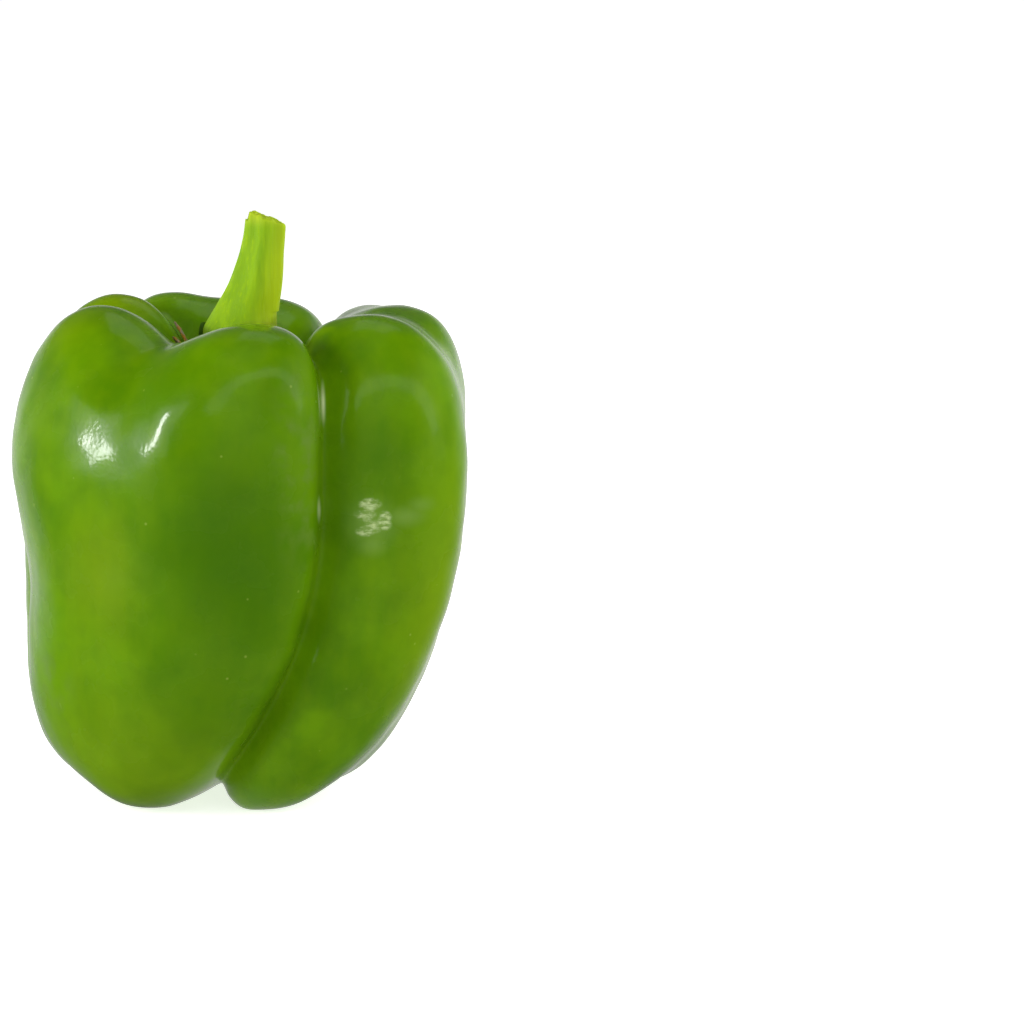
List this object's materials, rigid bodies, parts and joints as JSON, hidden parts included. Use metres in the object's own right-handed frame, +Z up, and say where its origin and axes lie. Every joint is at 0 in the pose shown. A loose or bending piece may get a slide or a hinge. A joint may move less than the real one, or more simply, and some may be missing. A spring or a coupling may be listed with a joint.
{
  "type": "bell pepper",
  "caption": "Green bell pepper, a blocky lobed fruit that stands on its feet, with deep folds down its sides and a ribbed stem rising from the hollow at its crown.",
  "frame": {"origin": "on the ground under the middle of the whole pepper", "axes": "+Z up along the fruit towards the stem, -Y towards the viewer of the picture, +X to the viewer's right, where the stem leans"},
  "size_m": [0.0828, 0.0756, 0.1068],
  "materials": {
    "skin": "waxy and glossy, with a fine orange-peel grain",
    "stalk": "matte and fibrous"
  },
  "bodies": {
    "root": {"fruit": "skin", "stem": "stalk"}
  },
  "joints": []
}
